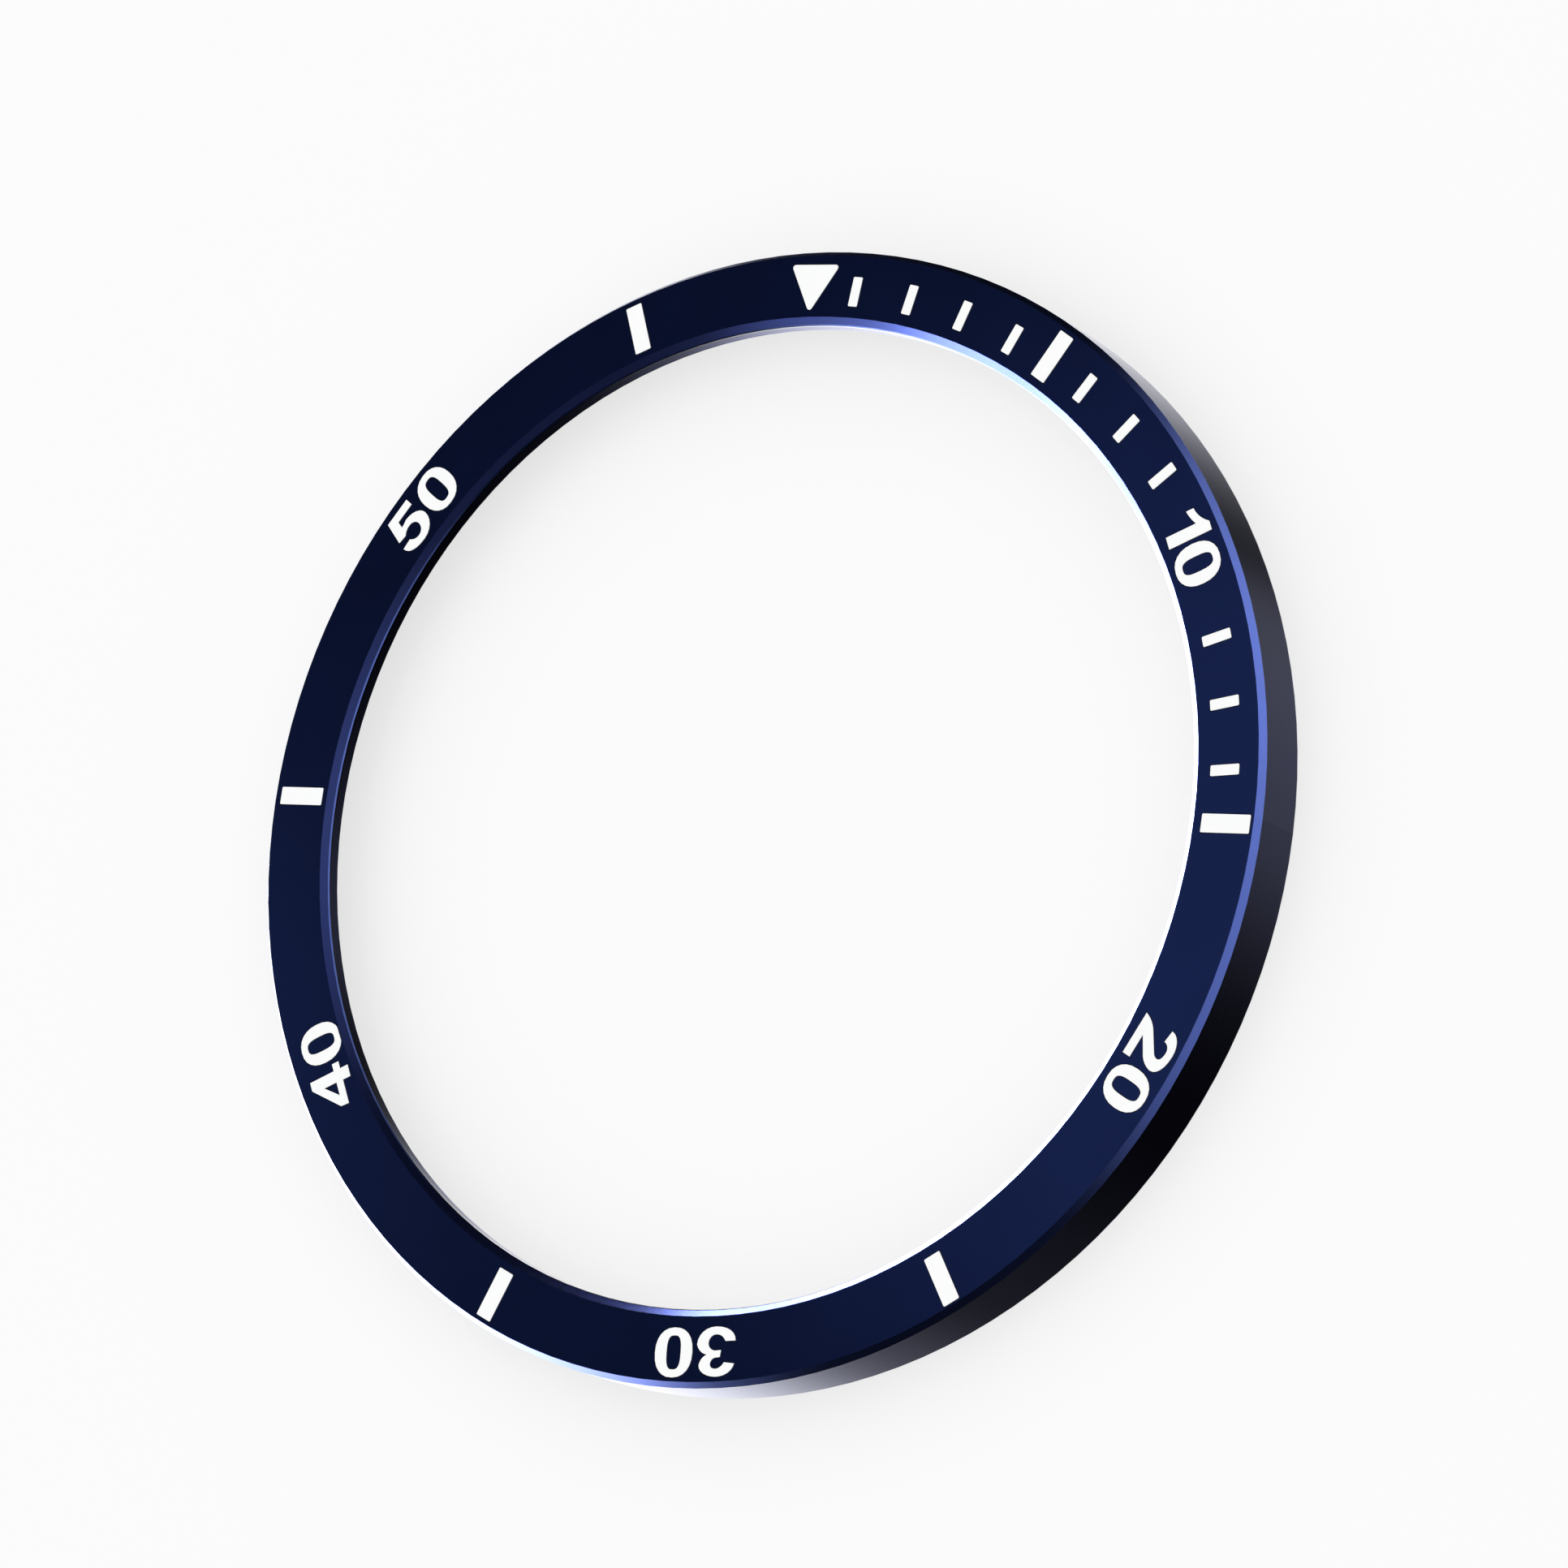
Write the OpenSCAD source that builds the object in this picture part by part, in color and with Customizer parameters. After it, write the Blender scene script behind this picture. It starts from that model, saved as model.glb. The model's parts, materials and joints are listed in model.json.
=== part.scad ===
// Bezel ring for a round 46 mm watch
// A navy face plate with white inlaid minute marks is bonded on a bare metal carrier ring
// Millimetres, +Z out of the face, +Y towards the zero triangle, origin at the centre of the back edge

/* [Ring] */
// Outer diameter of the ring
outer_d = 46; // [43:0.5:50]
// Width of the ring, from the opening to the outer wall
rim_w = 3.08; // [3:0.01:3.6]
// Depth from the back edge of the skirt to the face
ring_h = 2.9; // [2.2:0.05:4.5]

/* [Face bevels] */
// Width of the outer bevel
outer_bevel_w = 0.21; // [0.1:0.01:0.23]
// Depth of the outer bevel
outer_bevel_h = 0.29; // [0.27:0.01:0.35]
// Width of the inner bevel
inner_bevel_w = 0.3; // [0.2:0.01:0.32]
// Depth of the inner bevel
inner_bevel_h = 0.28; // [0.24:0.01:0.5]
// Width of the steeper foot of the inner bevel
foot_w = 0.04; // [0.02:0.01:0.08]
// Depth of the steeper foot of the inner bevel
foot_h = 0.07; // [0.04:0.01:0.1]
// Height of the straight edge of the face plate under the outer bevel
outer_edge = 0.03; // [0.02:0.01:0.05]
// Height of the straight edge of the face plate under the inner bevel
inner_edge = 0.09; // [0.06:0.01:0.15]

/* [Carrier] */
// Wall of the skirt
skirt_t = 0.8; // [0.5:0.05:0.95]
// Height of the bare inner wall, which is the thickness of the web at the opening
web_t = 0.46; // [0.4:0.01:0.7]
// Width of the rim that carries the outer edge of the face plate
rim_land = 1.2; // [1:0.05:1.4]
// Width of the lip that carries the inner edge of the face plate
lip_land = 0.38; // [0.3:0.01:0.6]
// Height of the tongue under the face plate, which centres it in the carrier's groove
tongue_h = 0.13; // [0.1:0.01:0.15]
// Gap between the tongue and each wall of the groove
tongue_gap = 0.03; // [0.01:0.01:0.1]
// Radius in the corner between skirt and web
corner_r = 0.15; // [0.05:0.01:0.25]
// Lead-in bevel at the mouth of the skirt
lead_in = 0.2; // [0.05:0.01:0.3]
// Bevel that breaks the sharp outer back edge
edge_break = 0.06; // [0.02:0.01:0.15]

/* [Adhesives] */
// Thickness of the film between the tongue and the floor of the groove
film_t = 0.08; // [0.05:0.01:0.15]
// Gap between the film and each wall of the groove
film_gap = 0.08; // [0.02:0.01:0.15]
// Thickness of the mounting adhesive
tape_t = 0.15; // [0.08:0.01:0.3]
// Distance from the mounting adhesive to the opening and to the skirt
tape_margin = 0.3; // [0.25:0.01:0.6]

/* [Marks] */
// Length of a broad bar
bar_l = 2.08; // [1.4:0.01:2.1]
// Width of a broad bar
bar_w = 0.73; // [0.4:0.01:1.2]
// Length of a minute tick
tick_l = 1.22; // [0.6:0.01:2.1]
// Width of a minute tick
tick_w = 0.42; // [0.2:0.01:0.8]
// Corner radius of bars and ticks
bar_corner = 0.05; // [0.01:0.01:0.09]
// Width of the zero triangle, before its corners are rounded
triangle_w = 2.3; // [1.6:0.01:2.4]
// Height of the zero triangle, before its corners are rounded
triangle_h = 2; // [1.4:0.01:2.2]
// Corner radius of the zero triangle
triangle_corner = 0.12; // [0.05:0.01:0.25]
// Height of the numerals
digit_h = 1.91; // [1.2:0.01:2]
// Space between the two digits of a numeral
digit_space = 0.2; // [0.12:0.01:0.5]
// Least distance from a mark to a bevel, and a mark that would come nearer is cut off there
edge_margin = 0.05; // [0.05:0.01:0.2]

/* [Inlay fit] */
// Depth of the pockets for the marks
pocket_depth = 0.25; // [0.1:0.01:0.27]
// Gap between a mark and the wall of its pocket
pocket_gap = 0.03; // [0.01:0.005:0.04]
// Height of the marks above the face
mark_proud = 0.02; // [0:0.01:0.1]

/* [Scale] */
// Angle from tick to tick
tick_pitch = 7.07; // [5:0.01:7.1]
// Angles of the first ticks after the triangle, the 5 bar and the numeral 10, clockwise as all angles are
tick_angles = [5.5, 37.7, 71]; // [0:0.1:360]
// Lean of each of those groups of ticks, clockwise about its own middle
tick_leans = [0, -2.3, 0.5]; // [-3:0.1:3]
// Distance of each of those groups outwards from the middle of the face
tick_offsets = [-0.21, 0.05, -0.1]; // [-0.3:0.01:0.3]
// Lean of the zero triangle
triangle_lean = 1.5; // [-3:0.5:3]
// Distance of the zero triangle outwards from the middle of the face
triangle_offset = -0.06; // [-0.1:0.01:0.1]
// Angles of the bars at 5, 15, 25, 35, 45 and 55
bar_angles = [32.1, 90.7, 146.9, 203, 270.6, 337.9]; // [0:0.1:360]
// Distance of each bar outwards from the middle of the face
bar_offsets = [0.08, 0.11, 0.16, 0.06, -0.03, 0]; // [-0.19:0.01:0.19]
// Angles of the numerals 10, 20, 30, 40 and 50
numeral_angles = [60.8, 116.7, 176.7, 238.8, 305.5]; // [0:0.1:360]
// Lean of each numeral, clockwise about its own middle
numeral_leans = [4.5, 1.5, -1, 5, -1]; // [-6:0.5:6]
// Distance of each numeral outwards from the middle of the face
numeral_offsets = [0, 0.02, 0.11, -0.24, -0.02]; // [-0.25:0.01:0.25]

/* [Hidden] */
$fn = 180;
NAVY = [0.07, 0.11, 0.29];
METAL = [0.25, 0.26, 0.3];
WHITE = [0.96, 0.96, 0.96];
FILM = [0.85, 0.82, 0.7];

// Steps in a rounded corner and in a quarter of a digit's curve
CORNER_STEPS = 4;
CURVE_STEPS = 6;

// Radii
outer_r = outer_d / 2;
opening_r = outer_r - rim_w;
skirt_r = outer_r - skirt_t;
groove_outer_r = outer_r - rim_land;
groove_inner_r = opening_r + lip_land;
face_inner_r = opening_r + inner_bevel_w;
face_outer_r = outer_r - outer_bevel_w;

// Levels
rim_top = ring_h - outer_bevel_h - outer_edge;
lip_top = ring_h - inner_bevel_h - inner_edge;
tongue_bottom = lip_top - tongue_h;
groove_floor = tongue_bottom - film_t;
web_bottom = lip_top - web_t;

// Middle of the flat face, where the marks are set
face_r = (face_inner_r + face_outer_r) / 2;

// Minutes that a tick marks, group by group
GROUPS = [[1, 2, 3, 4], [6, 7, 8], [12, 13, 14]];
TICKS = [for (group = GROUPS) each group];

function group_of(minute) = minute < 5 ? 0 : minute < 10 ? 1 : 2;
function tick_angle(minute) =
    tick_angles[group_of(minute)] + (minute - GROUPS[group_of(minute)][0]) * tick_pitch;
function tick_lean(minute) = tick_leans[group_of(minute)];

// The ticks of a leaning group stand on a leaning line, so their distance changes along it
function tick_offset(minute) =
    let (group = GROUPS[group_of(minute)],
         from_middle = minute - (group[0] + group[len(group) - 1]) / 2)
    tick_offsets[group_of(minute)] - face_r * from_middle * tick_pitch * PI / 180 * tan(tick_lean(minute));
function bar_angle(minute) = bar_angles[(minute - 5) / 10];
function bar_offset(minute) = bar_offsets[(minute - 5) / 10];
function numeral_angle(minute) = numeral_angles[minute / 10 - 1];
function numeral_lean(minute) = numeral_leans[minute / 10 - 1];
function numeral_offset(minute) = numeral_offsets[minute / 10 - 1];

// Outlines are closed lists of points, counterclockwise, and their holes are too

function unit(v) = v / norm(v);
function previous(p, i) = p[(i + len(p) - 1) % len(p)];
function next(p, i) = p[(i + 1) % len(p)];

// Arc of radius r that rounds the corner p between its neighbours a and b
function corner(a, p, b, r) =
    let (u = unit(a - p),
         v = unit(b - p),
         half = acos(u * v) / 2,
         centre = p + unit(u + v) * r / sin(half),
         from = p + u * r / tan(half) - centre,
         to = p + v * r / tan(half) - centre,
         start = atan2(from.y, from.x),
         turn = sign(from.x * to.y - from.y * to.x) * (180 - 2 * half))
    [for (i = [0:CORNER_STEPS])
        let (t = start + turn * i / CORNER_STEPS)
        centre + r * [cos(t), sin(t)]];

// Outline with every corner rounded
function rounded(p, r) =
    [for (i = [0:len(p) - 1]) each corner(previous(p, i), p[i], next(p, i), r)];

// Outline moved outwards by d
function grown(p, d) =
    [for (i = [0:len(p) - 1])
        let (a = unit(p[i] - previous(p, i)),
             b = unit(next(p, i) - p[i]),
             out = [a.y + b.y, -a.x - b.x])
        p[i] + 2 * d * out / (out * out)];

// Outline without the points that two neighbouring curves share
function joined(p) =
    [for (i = [0:len(p) - 1]) if (norm(p[i] - previous(p, i)) > 0.001) p[i]];

// Stretch of an oval about c, with half width a and half height b, from angle t0 to t1
// n is 2 for an ellipse and more for squarer shoulders
function oval(c, a, b, t0, t1, n = 2) =
    let (steps = ceil(CURVE_STEPS * abs(t1 - t0) / 90))
    [for (i = [0:steps])
        let (t = t0 + (t1 - t0) * i / steps)
        [c.x + a * sign(cos(t)) * pow(abs(cos(t)), 2 / n),
         c.y + b * sign(sin(t)) * pow(abs(sin(t)), 2 / n)]];

// Shallow arc from p to q whose middle bulges by h to the right of the way along it
function bow(p, q, h) =
    let (side = unit([q.y - p.y, p.x - q.x]))
    [for (i = [0:CURVE_STEPS])
        let (s = i / CURVE_STEPS)
        p + (q - p) * s + side * h * 4 * s * (1 - s)];

// Digits, each drawn about its middle with flat digits DRAWN_H high

DRAWN_H = 1.91;
TOP = DRAWN_H / 2;
OVERSHOOT = 0.025;
ROUND_TOP = TOP + OVERSHOOT;
DIGIT_W = [1.71, 1.15, 1.75, 1.73, 1.88, 1.76];

function zero() = joined(oval([0, 0], 0.855, ROUND_TOP, 0, 360, 2.28));
function zero_hole() = joined(oval([0, 0], 0.325, 0.67, 0, 360, 3));

function one() = concat(
    [[0.06, -TOP], [0.575, -TOP], [0.575, TOP]],
    bow([0.2, TOP], [-0.57, 0.48], -0.09),
    bow([-0.57, 0.15], [0.06, 0.4], 0.03));

function two() = joined(concat(
    [[-0.875, -TOP], [0.87, -TOP], [0.87, -0.6], [-0.1, -0.6]],
    bow([0.57, -0.11], [0.875, 0.46], 0.06),
    oval([-0.04, 0.46], 0.915, ROUND_TOP - 0.46, 0, 90, 2.15),
    oval([-0.04, 0.42], 0.795, ROUND_TOP - 0.42, 90, 180),
    oval([-0.015, 0.36], 0.325, 0.305, 180, 90),
    oval([-0.015, 0.46], 0.378, 0.205, 90, 0, 2.2),
    oval([0.02, 0.46], 0.343, 0.3, 0, -50),
    bow([-0.475, -0.33], [-0.875, -TOP], 0.06)));

function three() = joined(concat(
    oval([0, -0.42], 0.865, ROUND_TOP - 0.42, 180, 270, 2.1),
    oval([0.05, -0.3], 0.815, ROUND_TOP - 0.3, 270, 360),
    bow([0.865, -0.29], [0.4, 0.11], 0.09),
    bow([0.4, 0.11], [0.738, 0.52], 0.07),
    oval([-0.05, 0.52], 0.788, ROUND_TOP - 0.52, 0, 90),
    oval([-0.05, 0.4], 0.82, ROUND_TOP - 0.4, 90, 173),
    bow([-0.4, 0.42], [-0.06, 0.67], -0.05),
    oval([-0.06, 0.48], 0.288, 0.19, 90, 0, 2.4),
    oval([-0.03, 0.48], 0.258, 0.25, 0, -90),
    [[-0.2, 0.215], [-0.235, -0.06]],
    oval([0.02, -0.34], 0.333, 0.3, 90, 0),
    oval([0.02, -0.34], 0.333, 0.335, 0, -90),
    bow([0.02, -0.675], [-0.41, -0.41], -0.08)));

function four() = [
    [-0.94, -0.575], [0.11, -0.575], [0.11, -TOP], [0.625, -TOP], [0.625, -0.575], [0.94, -0.575],
    [0.94, -0.25], [0.625, -0.25], [0.625, TOP], [0.25, TOP], [-0.915, -0.185]];
function four_hole() = [[-0.45, -0.25], [0.125, -0.25], [0.125, 0.37]];

function five() = joined(concat(
    [[-0.575, TOP], [-0.815, -0.07]],
    bow([-0.41, -0.11], [0, 0.05], -0.04),
    oval([0, -0.28], 0.363, 0.33, 90, 0, 2.2),
    oval([0, -0.28], 0.363, 0.372, 0, -90),
    bow([0, -0.652], [-0.395, -0.395], -0.07),
    oval([0.03, -0.43], 0.91, ROUND_TOP - 0.43, 180, 270, 2.2),
    oval([0.06, -0.21], 0.82, ROUND_TOP - 0.21, 270, 360),
    oval([0.08, -0.21], 0.8, 0.57, 0, 90),
    bow([0.08, 0.36], [-0.255, 0.3], -0.02),
    [[-0.195, 0.6], [0.74, 0.6], [0.74, TOP]]));

function digit_outline(k) = [zero(), one(), two(), three(), four(), five()][k];
function digit_hole(k) = k == 0 ? zero_hole() : k == 4 ? four_hole() : [];

// Flat shape of one digit, grown by d
module digit(k, d) {
    size = digit_h / DRAWN_H;
    difference() {
        polygon(grown(digit_outline(k) * size, d));
        if (len(digit_hole(k)) > 0) polygon(grown(digit_hole(k) * size, -d));
    }
}

// Flat shapes of the marks, drawn about their middles and grown by d

module block_shape(w, l, d) {
    polygon(grown(rounded([[-w, -l] / 2, [w, -l] / 2, [w, l] / 2, [-w, l] / 2], bar_corner), d));
}

module triangle_shape(d) {
    tip_half = atan(triangle_w / 2 / triangle_h);
    tip_loss = triangle_corner * (1 / sin(tip_half) - 1);
    top = (triangle_h - tip_loss) / 2;
    polygon(grown(rounded([[0, top - triangle_h], [triangle_w / 2, top], [-triangle_w / 2, top]],
                          triangle_corner), d));
}

module numeral_shape(minute, d) {
    tens = minute / 10;
    size = digit_h / DRAWN_H;
    tens_w = DIGIT_W[tens] * size;
    zero_w = DIGIT_W[0] * size;
    left = -(tens_w + digit_space + zero_w) / 2;
    translate([left + tens_w / 2, 0]) digit(tens, d);
    translate([-left - zero_w / 2, 0]) digit(0, d);
}

// Part of the flat face that the marks may cover, grown by d
module marked_face(d) {
    difference() {
        circle(face_outer_r - edge_margin + d);
        circle(face_inner_r + edge_margin - d);
    }
}

// Each mark is its own shape, and its pocket is the same shape grown by the gap

module seated(angle, lean, offset, d) {
    height = pocket_depth + (d > 0 ? ring_h : mark_proud);
    rotate([0, 0, -angle])
        translate([0, 0, ring_h - pocket_depth])
            linear_extrude(height) intersection() {
                translate([0, face_r + offset]) rotate(-lean) children();
                marked_face(d);
            }
}

module triangle_solid(d) {
    seated(0, triangle_lean, triangle_offset, d) triangle_shape(d);
}

module bar_solid(minute, d) {
    seated(bar_angle(minute), 0, bar_offset(minute), d) block_shape(bar_w, bar_l, d);
}

module tick_solid(minute, d) {
    seated(tick_angle(minute), tick_lean(minute), tick_offset(minute), d) block_shape(tick_w, tick_l, d);
}

module numeral_solid(minute, d) {
    seated(numeral_angle(minute), numeral_lean(minute), numeral_offset(minute), d) numeral_shape(minute, d);
}

// Bare metal ring: a skirt that drops over the rim of the watch, and a web that carries the face plate

module carrier_ring() {
    color(METAL) rotate_extrude() polygon(concat(
        [[outer_r - edge_break, 0], [outer_r, edge_break],
         [outer_r, rim_top], [groove_outer_r, rim_top],
         [groove_outer_r, groove_floor], [groove_inner_r, groove_floor],
         [groove_inner_r, lip_top], [opening_r, lip_top],
         [opening_r, web_bottom]],
        oval([skirt_r - corner_r, web_bottom - corner_r], corner_r, corner_r, 90, 0),
        [[skirt_r, lead_in], [skirt_r + lead_in, 0]]));
}

// Navy plate with a bevel at each edge, a tongue underneath that centres it, and pockets for the marks

module face_plate_blank() {
    rotate_extrude() polygon([
        [opening_r, lip_top], [groove_inner_r + tongue_gap, lip_top],
        [groove_inner_r + tongue_gap, tongue_bottom], [groove_outer_r - tongue_gap, tongue_bottom],
        [groove_outer_r - tongue_gap, rim_top], [outer_r, rim_top],
        [outer_r, rim_top + outer_edge], [face_outer_r, ring_h],
        [face_inner_r, ring_h], [opening_r + foot_w, lip_top + inner_edge + foot_h],
        [opening_r, lip_top + inner_edge]]);
}

module face_plate() {
    color(NAVY) difference() {
        face_plate_blank();
        triangle_solid(pocket_gap);
        for (minute = [5:10:55]) bar_solid(minute, pocket_gap);
        for (minute = TICKS) tick_solid(minute, pocket_gap);
        for (minute = [10:10:50]) numeral_solid(minute, pocket_gap);
    }
}

// Flat ring between two radii

module washer(inner_r, outer_r, z, t) {
    translate([0, 0, z]) difference() {
        cylinder(r = outer_r, h = t);
        translate([0, 0, -t]) cylinder(r = inner_r, h = 3 * t);
    }
}

// Film on the floor of the groove, which holds the tongue of the face plate

module bonding_film() {
    color(FILM) washer(groove_inner_r + film_gap, groove_outer_r - film_gap, groove_floor, film_t);
}

// Adhesive ring that holds the bezel on the watch

module mounting_adhesive() {
    color(FILM) washer(opening_r + tape_margin, skirt_r - tape_margin, web_bottom - tape_t, tape_t);
}

module zero_triangle() {
    color(WHITE) triangle_solid(0);
}

module bar(minute) {
    color(WHITE) bar_solid(minute, 0);
}

module tick(minute) {
    color(WHITE) tick_solid(minute, 0);
}

module numeral(minute) {
    color(WHITE) numeral_solid(minute, 0);
}

carrier_ring();
face_plate();
bonding_film();
mounting_adhesive();
zero_triangle();
bar(5);  // bar_05
bar(15);  // bar_15
bar(25);  // bar_25
bar(35);  // bar_35
bar(45);  // bar_45
bar(55);  // bar_55
tick(1);  // tick_01
tick(2);  // tick_02
tick(3);  // tick_03
tick(4);  // tick_04
tick(6);  // tick_06
tick(7);  // tick_07
tick(8);  // tick_08
tick(12);  // tick_12
tick(13);  // tick_13
tick(14);  // tick_14
numeral(10);  // numeral_10
numeral(20);  // numeral_20
numeral(30);  // numeral_30
numeral(40);  // numeral_40
numeral(50);  // numeral_50
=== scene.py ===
import json
import math

import bpy
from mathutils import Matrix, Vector

MM = 0.001

# Radius in the middle of the face, between the inner and the outer bevel
MIDDLE_R = 21.5 * MM

# How far up a surface faces where one kind of surface gives way to the next, from 0 to 1
SIDE_TO_FOOT = (0.10, 0.30)
FOOT_TO_BEVEL = (0.54, 0.74)
BEVEL_TO_FACE = (0.85, 0.97)
SIDE_TO_TOP = (0.3, 0.8)

# The floor lies this far under the ring's back edge
FLOOR_GAP = 0.02 * MM
FLOOR_SIZE = 8

# Share of plain white in the floor that the eye sees, which keeps its shadow faint
FLOOR_WHITE = 0.7

# Part of the light that the face scatters evenly
FACE_SCATTER = 0.25

# Strengths of the world's even light, and of the dim room that glossy rays see between panels
DAYLIGHT = 0.9
ROOM = 0.006

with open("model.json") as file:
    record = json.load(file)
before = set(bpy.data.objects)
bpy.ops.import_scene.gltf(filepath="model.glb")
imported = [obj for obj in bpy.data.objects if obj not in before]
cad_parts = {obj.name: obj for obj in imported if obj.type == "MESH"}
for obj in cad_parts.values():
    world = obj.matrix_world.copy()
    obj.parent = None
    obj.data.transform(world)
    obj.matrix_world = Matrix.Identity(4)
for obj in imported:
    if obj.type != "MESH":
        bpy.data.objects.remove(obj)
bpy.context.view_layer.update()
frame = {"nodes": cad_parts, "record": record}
nodes = frame["nodes"]


def linear(r, g, b):
    """Linear colour of an sRGB colour written from 0 to 255."""
    out = []
    for v in (r, g, b):
        v /= 255
        out.append(v / 12.92 if v <= 0.04045 else ((v + 0.055) / 1.055) ** 2.4)
    return (*out, 1.0)


def direction(azimuth, elevation):
    """Unit vector at an azimuth, clockwise from +Y, and an elevation, in degrees."""
    a, e = math.radians(azimuth), math.radians(elevation)
    return (math.sin(a) * math.cos(e), math.cos(a) * math.cos(e), math.sin(e))


def cosine(degrees):
    return math.cos(math.radians(degrees))


class Graph:
    """A node tree with short calls for the few kinds of node used here."""

    def __init__(self, tree):
        self.tree = tree
        tree.nodes.clear()

    def node(self, kind, **settings):
        n = self.tree.nodes.new(kind)
        for name, value in settings.items():
            setattr(n, name, value)
        return n

    def put(self, value, socket):
        """Link an output to the socket, or set the socket to a plain value."""
        if isinstance(value, bpy.types.NodeSocket):
            self.tree.links.new(value, socket)
        else:
            socket.default_value = value

    def math(self, operation, a, b=0.0):
        n = self.node("ShaderNodeMath", operation=operation)
        self.put(a, n.inputs[0])
        self.put(b, n.inputs[1])
        return n.outputs[0]

    def scaled(self, value, scale, offset):
        """Value times scale, plus offset."""
        return self.math("ADD", self.math("MULTIPLY", value, scale), offset)

    def ramp(self, value, low, high, to_low=0.0, to_high=1.0):
        """Smooth step of value from low to high."""
        n = self.node("ShaderNodeMapRange", interpolation_type="SMOOTHSTEP", clamp=True)
        self.put(value, n.inputs["Value"])
        n.inputs["From Min"].default_value = low
        n.inputs["From Max"].default_value = high
        n.inputs["To Min"].default_value = to_low
        n.inputs["To Max"].default_value = to_high
        return n.outputs["Result"]

    def mix(self, factor, a, b, blend="MIX"):
        n = self.node("ShaderNodeMix", data_type="RGBA", blend_type=blend)
        self.put(factor, n.inputs[0])
        self.put(a, n.inputs[6])
        self.put(b, n.inputs[7])
        return n.outputs[2]

    def noise(self, vector, scale, detail, roughness):
        n = self.node("ShaderNodeTexNoise")
        self.put(vector, n.inputs["Vector"])
        n.inputs["Scale"].default_value = scale
        n.inputs["Detail"].default_value = detail
        n.inputs["Roughness"].default_value = roughness
        return n.outputs["Fac"]

    def bump(self, height, strength, distance):
        n = self.node("ShaderNodeBump")
        n.inputs["Strength"].default_value = strength
        n.inputs["Distance"].default_value = distance
        self.put(height, n.inputs["Height"])
        return n.outputs["Normal"]

    def split(self, vector):
        """The x, y and z of a vector."""
        n = self.node("ShaderNodeSeparateXYZ")
        self.put(vector, n.inputs[0])
        return n.outputs

    def across(self, x, y):
        """Length of the level part of a vector."""
        squares = self.math("ADD", self.math("MULTIPLY", x, x), self.math("MULTIPLY", y, y))
        return self.math("SQRT", squares)

    def place(self):
        """Position on the part in metres."""
        return self.node("ShaderNodeTexCoord").outputs["Object"]

    def facing_up(self):
        """How far the true surface faces up, from -1 to 1."""
        normal = self.node("ShaderNodeNewGeometry").outputs["True Normal"]
        return self.split(normal)[2]

    def dot(self, vector, constant):
        n = self.node("ShaderNodeVectorMath", operation="DOT_PRODUCT")
        self.put(vector, n.inputs[0])
        n.inputs[1].default_value = constant
        return n.outputs["Value"]

    def shader(self, **values):
        n = self.node("ShaderNodeBsdfPrincipled")
        for name, value in values.items():
            self.put(value, n.inputs[name.replace("_", " ")])
        return n.outputs[0]

    def output(self, socket, kind="ShaderNodeOutputMaterial"):
        self.put(socket, self.node(kind).inputs[0])


def new_material(name):
    m = bpy.data.materials.new(name)
    m.use_nodes = True
    return m, Graph(m.node_tree)


def face_blue():
    m, g = new_material("navy_anodised")
    position = g.place()
    x, y = g.split(position)[:2]
    up = g.facing_up()

    # The plate's surfaces are told apart by how far up they face and how far they are from the axis
    not_side = g.ramp(up, *SIDE_TO_FOOT)
    not_foot = g.ramp(up, *FOOT_TO_BEVEL)
    flat = g.ramp(up, *BEVEL_TO_FACE)
    outside = g.ramp(g.across(x, y), MIDDLE_R - MM, MIDDLE_R + MM)

    side = linear(8, 10, 20)
    foot = linear(54, 78, 150)
    inner_bevel = linear(66, 89, 184)
    outer_bevel = linear(70, 94, 182)
    face = linear(20, 30, 66)
    colour = g.mix(not_foot, foot, inner_bevel)
    colour = g.mix(outside, colour, outer_bevel)
    colour = g.mix(flat, colour, face)
    colour = g.mix(not_side, side, colour)

    grain = g.noise(position, scale=22000, detail=3, roughness=0.6)
    cloud = g.noise(position, scale=260, detail=3, roughness=0.55)
    shade = g.math("MULTIPLY", g.scaled(cloud, 0.30, 0.85), g.scaled(grain, 0.16, 0.92))
    grey = g.node("ShaderNodeCombineColor")
    for socket in grey.inputs:
        g.put(shade, socket)
    colour = g.mix(1.0, colour, grey.outputs[0], "MULTIPLY")

    # The face has a slightly sharper gloss than the bevels and scatters a part of the light.
    # The clear oxide on the bevels has a white gloss of its own.
    rough = g.math("ADD", g.math("MULTIPLY", grain, 0.12), g.scaled(flat, -0.08, 0.16))
    metallic = g.math("SUBTRACT", 1.0, g.math("MULTIPLY", flat, FACE_SCATTER))
    oxide = g.math("SUBTRACT", 1.0, flat)
    g.output(g.shader(
        Base_Color=colour, Metallic=metallic, Roughness=rough, Specular_IOR_Level=0.0,
        Coat_Weight=oxide, Coat_Roughness=0.22,
        Normal=g.bump(grain, strength=0.08, distance=0.004 * MM)))
    return m


def carrier_metal():
    m, g = new_material("bare_dark_metal")
    position = g.place()
    # The fine turning lines run round the ring, so they change with height alone
    lines = g.node("ShaderNodeCombineXYZ")
    g.put(g.split(position)[2], lines.inputs[2])
    turned = g.noise(lines.outputs[0], scale=30000, detail=4, roughness=0.6)
    cloud = g.noise(position, scale=180, detail=3, roughness=0.5)
    colour = g.mix(cloud, linear(72, 76, 111), linear(82, 86, 123))
    g.output(g.shader(
        Base_Color=colour, Metallic=1.0, Roughness=g.scaled(turned, 0.14, 0.20),
        Normal=g.bump(turned, strength=0.12, distance=0.003 * MM)))
    return m


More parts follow.
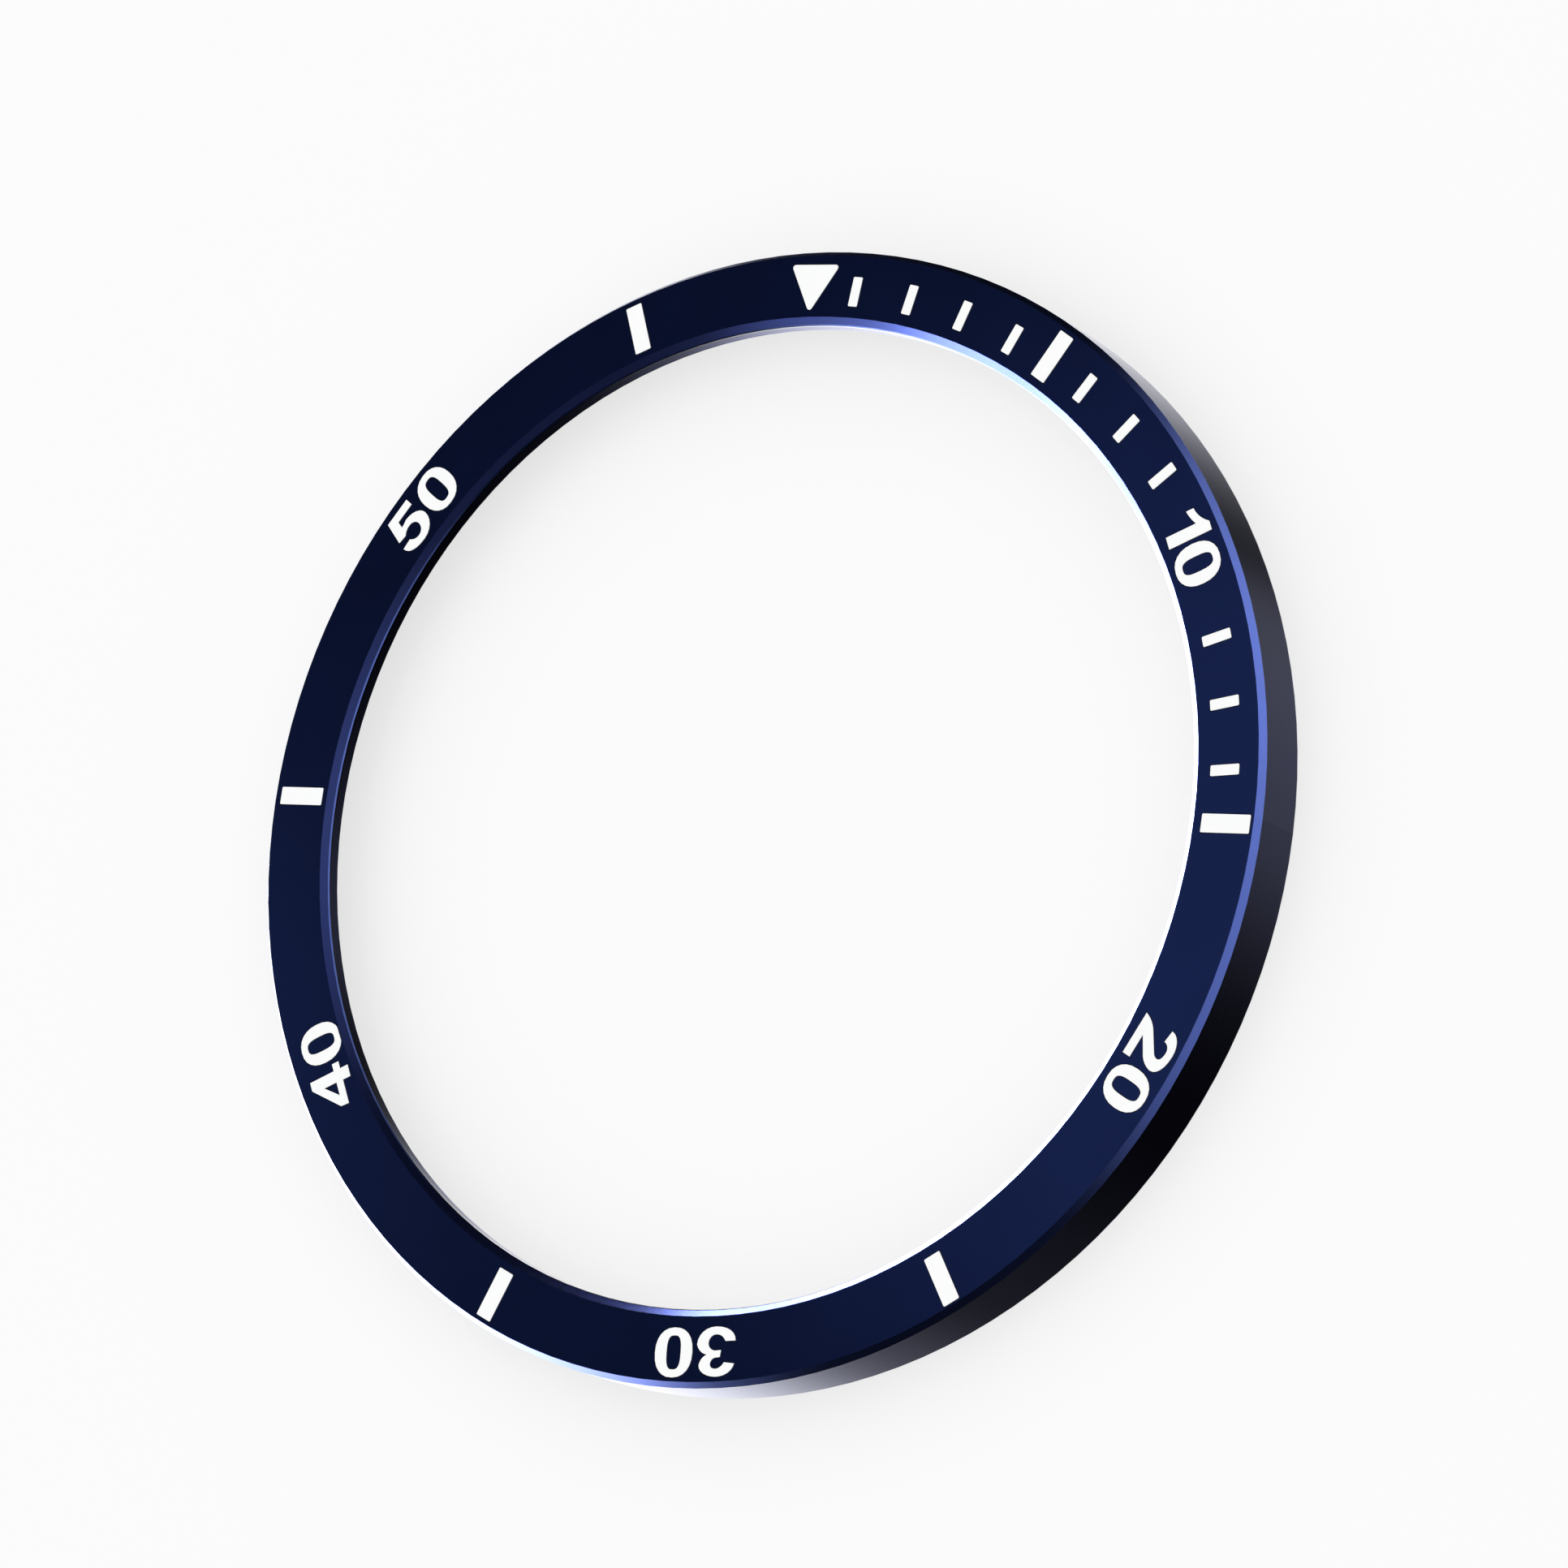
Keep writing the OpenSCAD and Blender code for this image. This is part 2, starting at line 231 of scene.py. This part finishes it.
def mark_white():
    m, g = new_material("white_enamel")
    position = g.place()
    cloud = g.noise(position, scale=900, detail=3, roughness=0.5)
    fine = g.noise(position, scale=16000, detail=2, roughness=0.5)
    # Painted shade: the sides of a mark are coloured grey for the shade of its pocket that lies on
    # them
    side = linear(120, 124, 138)
    top = g.mix(cloud, linear(247, 248, 248), linear(253, 254, 253))
    colour = g.mix(g.ramp(g.facing_up(), *SIDE_TO_TOP), side, top)
    g.output(g.shader(
        Base_Color=colour, Roughness=g.scaled(fine, 0.12, 0.38), Specular_IOR_Level=0.25,
        Normal=g.bump(fine, strength=0.12, distance=0.003 * MM)))
    return m


def adhesive(name, colour_a, colour_b, scale):
    m, g = new_material(name)
    cells = g.noise(g.place(), scale, detail=4, roughness=0.7)
    colour = g.mix(cells, colour_a, colour_b)
    g.output(g.shader(
        Base_Color=colour, Roughness=g.scaled(cells, 0.2, 0.6),
        Normal=g.bump(cells, strength=0.3, distance=0.01 * MM)))
    return m


looks = {
    "face_blue": face_blue(),
    "carrier_metal": carrier_metal(),
    "mark_white": mark_white(),
    "adhesive_film": adhesive(
        "clear_film", linear(206, 198, 170), linear(222, 214, 188), scale=9000),
    "adhesive_tape": adhesive(
        "foam_tape", linear(196, 196, 190), linear(224, 224, 218), scale=14000),
}
for subpart in frame["record"]["subparts"]:
    node = nodes[subpart["node"]]
    for material_slot in node.material_slots:
        material_slot.material = looks[subpart["material_slot"]]


def floor_look():
    """Matte near white, mixed with plain white for the rays that show the background."""
    m, g = new_material("pale_floor")
    matte = g.shader(Base_Color=linear(250, 250, 250), Roughness=0.9, Specular_IOR_Level=0.1)
    white = g.node("ShaderNodeEmission")
    white.inputs["Color"].default_value = linear(252, 252, 252)
    paths = g.node("ShaderNodeLightPath").outputs
    mirrored = g.math("MAXIMUM", paths["Is Glossy Ray"], paths["Is Transmission Ray"])
    seen = g.math("MAXIMUM", paths["Is Camera Ray"], mirrored)
    both = g.node("ShaderNodeMixShader")
    g.put(g.math("MULTIPLY", seen, FLOOR_WHITE), both.inputs[0])
    g.put(matte, both.inputs[1])
    g.put(white.outputs[0], both.inputs[2])
    g.output(both.outputs[0])
    return m


# Floor, wide enough to fill every view. Glossy rays miss it and meet the studio's panels below.
bpy.ops.mesh.primitive_plane_add(size=FLOOR_SIZE, location=(0, 0, -FLOOR_GAP))
floor = bpy.context.object
floor.name = "floor"
floor.data.materials.append(floor_look())
floor.visible_glossy = False


def round_panel(g, ray, azimuth, elevation, inner, outer, strength):
    """Brightness of a soft round panel, full within inner degrees of its middle, gone at outer."""
    facing = g.dot(ray, direction(azimuth, elevation))
    return g.ramp(facing, cosine(outer), cosine(inner), 0, strength)


def wide_panel(g, ray, azimuth, inner, outer, levels, strength):
    """Brightness of a soft upright band round an azimuth.

    The levels are the elevations where it starts, is full, starts to fade and ends.
    """
    x, y, z = g.split(ray)
    facing = g.math("DIVIDE", g.dot(ray, direction(azimuth, 0)), g.across(x, y))
    sideways = g.ramp(facing, cosine(outer), cosine(inner), 0, strength)
    starts, full, fades, ends = (math.sin(math.radians(v)) for v in levels)
    upright = g.math("MULTIPLY", g.ramp(z, starts, full), g.ramp(z, fades, ends, 1, 0))
    return g.math("MULTIPLY", sideways, upright)


def studio():
    """World of an even pale light, in which glossy rays meet soft bright panels in a dim room.

    A panel is written as azimuth, elevation if it is round, inner and outer angle, levels if it
    is wide, and strength. Its angles are in degrees. Most of the angles and strengths were fitted
    to the tones of the ring in the photograph, and then rounded.
    """
    world = bpy.data.worlds.new("studio")
    world.use_nodes = True
    g = Graph(world.node_tree)
    ray = g.node("ShaderNodeTexCoord").outputs["Generated"]
    panels = (
        # White backdrop at the horizon behind the ring, with its hot parts. It stays low, so
        # that the face doesn't mirror it in other views.
        wide_panel(g, ray, 279, 44.5, 50, (-6.4, -4.4, 2.5, 7.8), 11.5),
        round_panel(g, ray, 248, -23.5, 2, 43, 4.2),
        round_panel(g, ray, 287.5, -14, 18.5, 24, 11),
        round_panel(g, ray, 224, 11, 2, 33.5, 0.61),
        round_panel(g, ray, 235, 9, 2, 12.8, 4),
        round_panel(g, ray, 316, -4, 4, 13, 6),
        # Light from below on the bare walls
        wide_panel(g, ray, 292, 5.5, 70.5, (-80, -72, -52, -49.7), 1.1),
        round_panel(g, ray, 291, -46, 16, 18, 0.7),
        round_panel(g, ray, 337, -50.5, 2.6, 8.2, 0.49),
        round_panel(g, ray, 315.5, -51, 3.75, 10.7, 0.48),
        round_panel(g, ray, 213, -50.5, 2, 16.2, 0.34),
        round_panel(g, ray, 182, -67.5, 9.5, 11, 0.08),
        round_panel(g, ray, 45, -71.5, 14.4, 19.6, 0.46),
        # Long soft panel at the right for the outer bevel, and dim glows for the inner bevel
        wide_panel(g, ray, 74, 2, 70.5, (-14.7, -12, 12, 14), 1.5),
        round_panel(g, ray, 60, 65.5, 3, 43, 0.31),
        round_panel(g, ray, 162, 44.5, 30.5, 32.5, 0.04),
        # Dim ceiling over the face, with two brighter patches
        round_panel(g, ray, 288.5, 56.5, 14, 22.5, 0.04),
        round_panel(g, ray, 291, 60, 3.85, 5.35, 1.5),
        round_panel(g, ray, 279.5, 47.7, 3, 5.7, 2.8),
        # Soft light on the face for a look from above and from either side
        wide_panel(g, ray, 285, 30, 60, (8, 14, 38, 45), 0.5),
        round_panel(g, ray, 0, 90, 8, 24, 0.4),
        wide_panel(g, ray, 105, 35, 55, (20, 24, 32, 37), 0.25),
    )
    room = ROOM
    for panel in panels:
        room = g.math("ADD", panel, room)
    level = g.node("ShaderNodeMix", data_type="FLOAT")
    g.put(g.node("ShaderNodeLightPath").outputs["Is Glossy Ray"], level.inputs[0])
    level.inputs[2].default_value = DAYLIGHT
    g.put(room, level.inputs[3])
    background = g.node("ShaderNodeBackground")
    background.inputs["Color"].default_value = (1, 1, 1, 1)
    g.put(level.outputs[0], background.inputs["Strength"])
    g.output(background.outputs[0], "ShaderNodeOutputWorld")
    return world


def softbox(name, azimuth, elevation, distance, size, power):
    """Square area lamp that looks at the middle of the ring and that gloss doesn't show."""
    light = bpy.data.lights.new(name, "AREA")
    light.shape = "SQUARE"
    light.size = size
    light.energy = power
    lamp = bpy.data.objects.new(name, light)
    bpy.context.scene.collection.objects.link(lamp)
    towards = Vector(direction(azimuth, elevation))
    lamp.location = towards * distance
    lamp.rotation_euler = towards.to_track_quat("Z", "Y").to_euler()
    lamp.visible_glossy = False


bpy.context.scene.world = studio()
softbox("overhead", azimuth=290, elevation=80, distance=0.8, size=0.8, power=1.0)

# Camera at the photograph's viewing angle, fitted to the ring's edges
lens = bpy.data.cameras.new("camera")
lens.sensor_width = 36
lens.lens = 149.07
lens.clip_start, lens.clip_end = 0.01, 20
camera = bpy.data.objects.new("camera", lens)
camera.location = (0.1369052, -0.0471693, 0.2141203)
camera.rotation_euler = [math.radians(v) for v in (15.52164, 30.84190, 8.81337)]
bpy.context.scene.collection.objects.link(camera)
bpy.context.scene.camera = camera

bpy.context.scene.view_settings.view_transform = "Standard"
